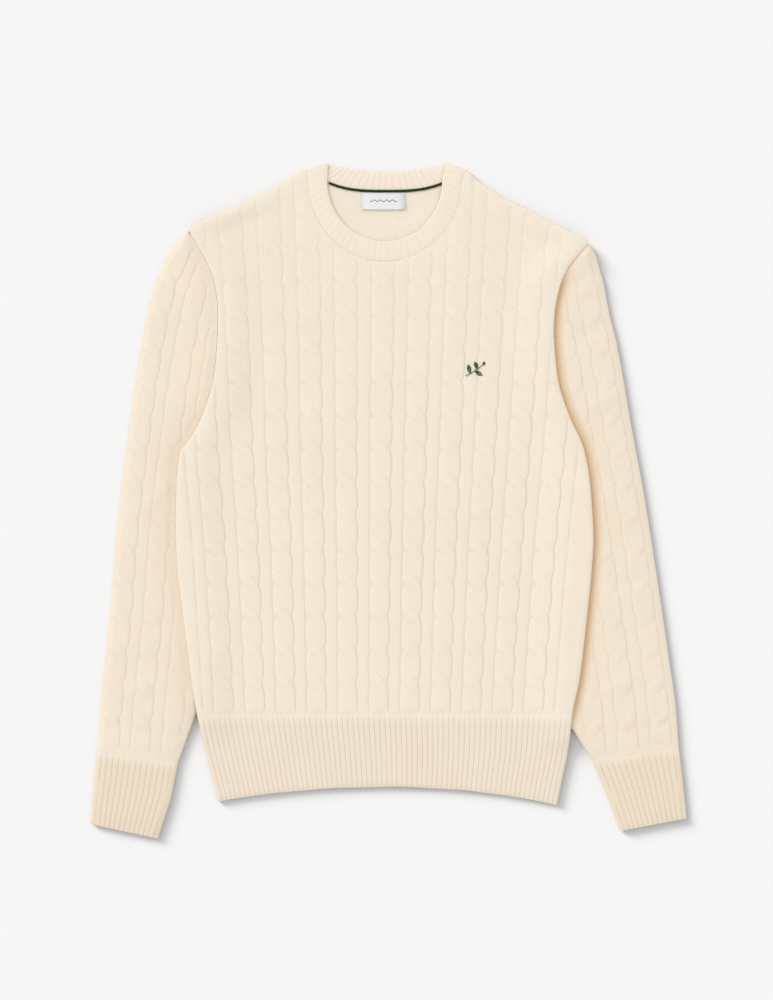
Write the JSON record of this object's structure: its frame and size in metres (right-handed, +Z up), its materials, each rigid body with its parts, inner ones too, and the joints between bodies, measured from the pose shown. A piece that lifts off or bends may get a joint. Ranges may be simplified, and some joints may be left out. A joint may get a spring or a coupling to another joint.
{
  "type": "cable knit sweater",
  "caption": "Crew neck cable knit sweater laid flat face up, sleeves folded down beside the body, with ribbed neckband, hem and cuffs.",
  "frame": {"origin": "middle of the garment's box, on the surface it lies on", "axes": "+Y runs from the hem to the neck along the garment's length, +X is the wearer's left, +Z points up from the surface through the front"},
  "size_m": [0.633, 0.7179, 0.0151],
  "materials": {
    "knit": "soft matt cable knit",
    "rib": "soft matt rib knit",
    "tape": "matt herringbone twill tape",
    "label": "satin woven label"
  },
  "bodies": {
    "root": {"front": "knit", "back": "knit", "sleeve_left": "knit", "sleeve_right": "knit", "cuff_left": "rib", "cuff_right": "rib", "hem_front": "rib", "hem_back": "rib", "neckband": "rib", "neck_tape": "tape", "neck_label": "label"}
  },
  "joints": []
}
